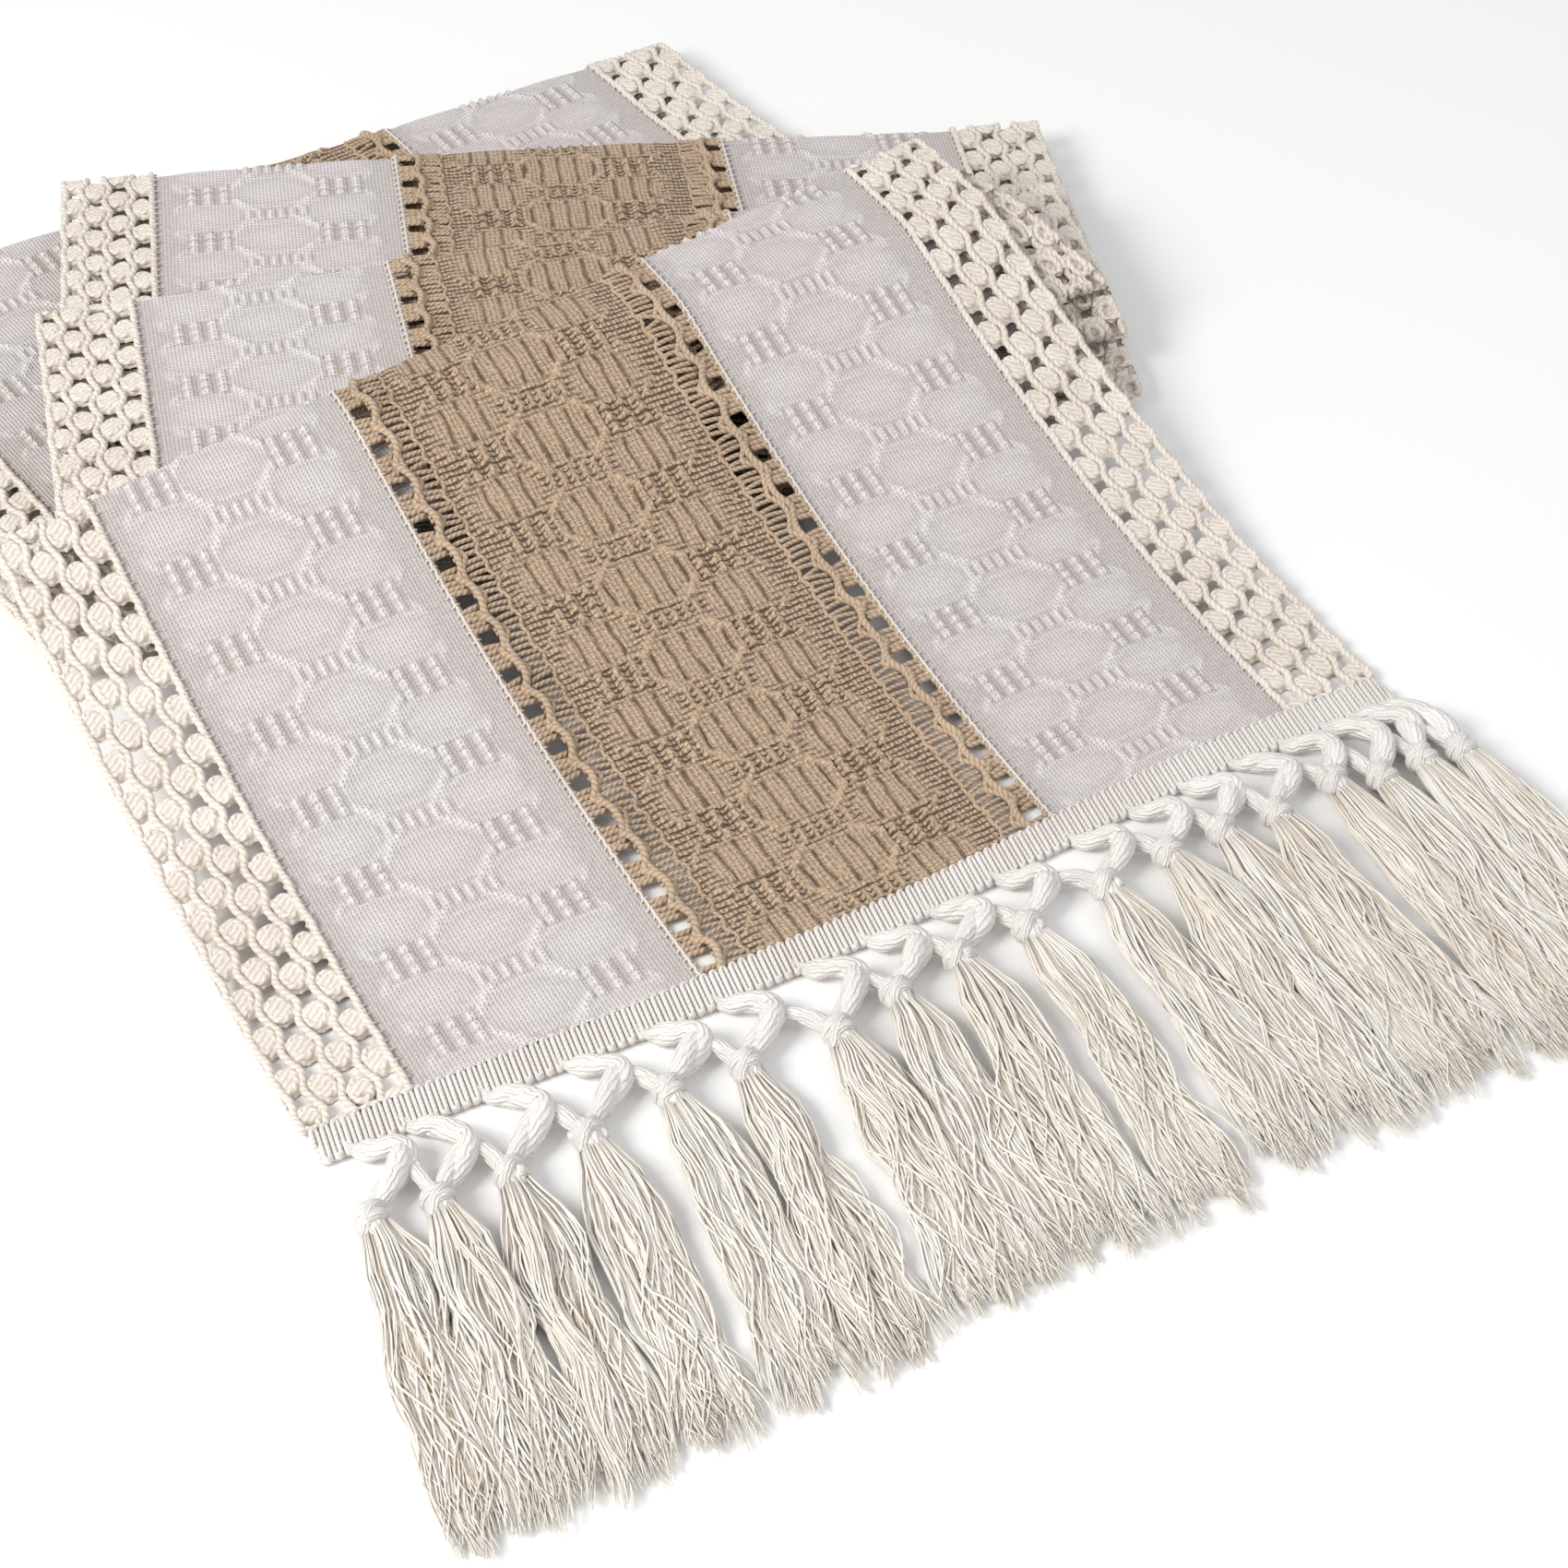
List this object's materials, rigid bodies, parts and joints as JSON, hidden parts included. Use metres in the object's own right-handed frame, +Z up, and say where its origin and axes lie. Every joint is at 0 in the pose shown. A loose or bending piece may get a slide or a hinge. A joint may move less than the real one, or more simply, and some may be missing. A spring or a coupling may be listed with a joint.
{
  "type": "table runner",
  "caption": "Long narrow cloth with lace sides, jacquard panels and knotted tassel fringes, folded in a loose pile with one end laid out; it covers the middle of a table.",
  "frame": {"origin": "middle of the folded runner's footprint, on the table surface", "axes": "+X along the front hem, from its left end to its right end seen from the fringe side; +Y from the front fringe towards the folded pile; +Z up"},
  "size_m": [0.4118, 0.4958, 0.042],
  "materials": {
    "lace_yarn": "matte crocheted cotton yarn, off-white",
    "white_cloth": "matte ribbed cotton jacquard, off-white",
    "tan_cloth": "coarse matte jute-look jacquard, tan",
    "seam_thread": "matte cotton sewing thread, off-white",
    "hem_braid": "ribbed cotton braid, off-white",
    "knot_yarn": "soft cotton cord with a slight sheen, white",
    "fringe_yarn": "loose fine cotton strands, creamy white"
  },
  "bodies": {
    "runner": {"lace_border_left": "lace_yarn", "white_panel_left": "white_cloth", "tan_centre_panel": "tan_cloth", "white_panel_right": "white_cloth", "lace_border_right": "lace_yarn", "seam_lace_left": "seam_thread", "seam_centre_left": "seam_thread", "seam_centre_right": "seam_thread", "seam_lace_right": "seam_thread", "front_end_band": "hem_braid", "front_knotted_netting": "knot_yarn", "rear_end_band": "hem_braid", "rear_knotted_netting": "knot_yarn", "rear_tassel_01": "fringe_yarn", "rear_tassel_02": "fringe_yarn", "rear_tassel_03": "fringe_yarn", "rear_tassel_04": "fringe_yarn", "rear_tassel_05": "fringe_yarn", "rear_tassel_06": "fringe_yarn", "rear_tassel_07": "fringe_yarn", "rear_tassel_08": "fringe_yarn", "rear_tassel_09": "fringe_yarn", "rear_tassel_10": "fringe_yarn", "rear_tassel_11": "fringe_yarn", "rear_tassel_12": "fringe_yarn", "rear_tassel_13": "fringe_yarn", "rear_tassel_14": "fringe_yarn", "rear_tassel_15": "fringe_yarn", "rear_tassel_16": "fringe_yarn", "rear_tassel_17": "fringe_yarn", "rear_tassel_18": "fringe_yarn"},
    "tassel_01": {"front_tassel_01": "fringe_yarn"},
    "tassel_02": {"front_tassel_02": "fringe_yarn"},
    "tassel_03": {"front_tassel_03": "fringe_yarn"},
    "tassel_04": {"front_tassel_04": "fringe_yarn"},
    "tassel_05": {"front_tassel_05": "fringe_yarn"},
    "tassel_06": {"front_tassel_06": "fringe_yarn"},
    "tassel_07": {"front_tassel_07": "fringe_yarn"},
    "tassel_08": {"front_tassel_08": "fringe_yarn"},
    "tassel_09": {"front_tassel_09": "fringe_yarn"},
    "tassel_10": {"front_tassel_10": "fringe_yarn"},
    "tassel_11": {"front_tassel_11": "fringe_yarn"},
    "tassel_12": {"front_tassel_12": "fringe_yarn"},
    "tassel_13": {"front_tassel_13": "fringe_yarn"},
    "tassel_14": {"front_tassel_14": "fringe_yarn"},
    "tassel_15": {"front_tassel_15": "fringe_yarn"},
    "tassel_16": {"front_tassel_16": "fringe_yarn"},
    "tassel_17": {"front_tassel_17": "fringe_yarn"},
    "tassel_18": {"front_tassel_18": "fringe_yarn"}
  },
  "joints": [
    {"name": "tassel_lift_01", "type": "hinge", "parent": "runner", "child": "tassel_01", "pos_m": [-0.15863, -0.15988, 0.0042], "axis": [-1, 0, 0], "range_deg": [0, 90]},
    {"name": "tassel_lift_02", "type": "hinge", "parent": "runner", "child": "tassel_02", "pos_m": [-0.14363, -0.16291, 0.0042], "axis": [-1, 0, 0], "range_deg": [0, 90]},
    {"name": "tassel_lift_03", "type": "hinge", "parent": "runner", "child": "tassel_03", "pos_m": [-0.12643, -0.16342, 0.0042], "axis": [-1, 0, 0], "range_deg": [0, 90]},
    {"name": "tassel_lift_04", "type": "hinge", "parent": "runner", "child": "tassel_04", "pos_m": [-0.10643, -0.1622, 0.0042], "axis": [-1, 0, 0], "range_deg": [0, 90]},
    {"name": "tassel_lift_05", "type": "hinge", "parent": "runner", "child": "tassel_05", "pos_m": [-0.08473, -0.15987, 0.0042], "axis": [-1, 0, 0], "range_deg": [0, 90]},
    {"name": "tassel_lift_06", "type": "hinge", "parent": "runner", "child": "tassel_06", "pos_m": [-0.06583, -0.16218, 0.0042], "axis": [-1, 0, 0], "range_deg": [0, 90]},
    {"name": "tassel_lift_07", "type": "hinge", "parent": "runner", "child": "tassel_07", "pos_m": [-0.04193, -0.16338, 0.0042], "axis": [-1, 0, 0], "range_deg": [0, 90]},
    {"name": "tassel_lift_08", "type": "hinge", "parent": "runner", "child": "tassel_08", "pos_m": [-0.02413, -0.15985, 0.0042], "axis": [-1, 0, 0], "range_deg": [0, 90]},
    {"name": "tassel_lift_09", "type": "hinge", "parent": "runner", "child": "tassel_09", "pos_m": [-0.00533, -0.15669, 0.0042], "axis": [-1, 0, 0], "range_deg": [0, 90]},
    {"name": "tassel_lift_10", "type": "hinge", "parent": "runner", "child": "tassel_10", "pos_m": [0.01417, -0.15688, 0.0042], "axis": [-1, 0, 0], "range_deg": [0, 90]},
    {"name": "tassel_lift_11", "type": "hinge", "parent": "runner", "child": "tassel_11", "pos_m": [0.03807, -0.15447, 0.0042], "axis": [-1, 0, 0], "range_deg": [0, 90]},
    {"name": "tassel_lift_12", "type": "hinge", "parent": "runner", "child": "tassel_12", "pos_m": [0.05747, -0.1529, 0.0042], "axis": [-1, 0, 0], "range_deg": [0, 90]},
    {"name": "tassel_lift_13", "type": "hinge", "parent": "runner", "child": "tassel_13", "pos_m": [0.07357, -0.15288, 0.0042], "axis": [-1, 0, 0], "range_deg": [0, 90]},
    {"name": "tassel_lift_14", "type": "hinge", "parent": "runner", "child": "tassel_14", "pos_m": [0.08857, -0.15445, 0.0042], "axis": [-1, 0, 0], "range_deg": [0, 90]},
    {"name": "tassel_lift_15", "type": "hinge", "parent": "runner", "child": "tassel_15", "pos_m": [0.10807, -0.15223, 0.0042], "axis": [-1, 0, 0], "range_deg": [0, 90]},
    {"name": "tassel_lift_16", "type": "hinge", "parent": "runner", "child": "tassel_16", "pos_m": [0.11917, -0.1571, 0.0042], "axis": [-1, 0, 0], "range_deg": [0, 90]},
    {"name": "tassel_lift_17", "type": "hinge", "parent": "runner", "child": "tassel_17", "pos_m": [0.13197, -0.1564, 0.0042], "axis": [-1, 0, 0], "range_deg": [0, 90]},
    {"name": "tassel_lift_18", "type": "hinge", "parent": "runner", "child": "tassel_18", "pos_m": [0.14277, -0.15888, 0.0042], "axis": [-1, 0, 0], "range_deg": [0, 90]}
  ]
}
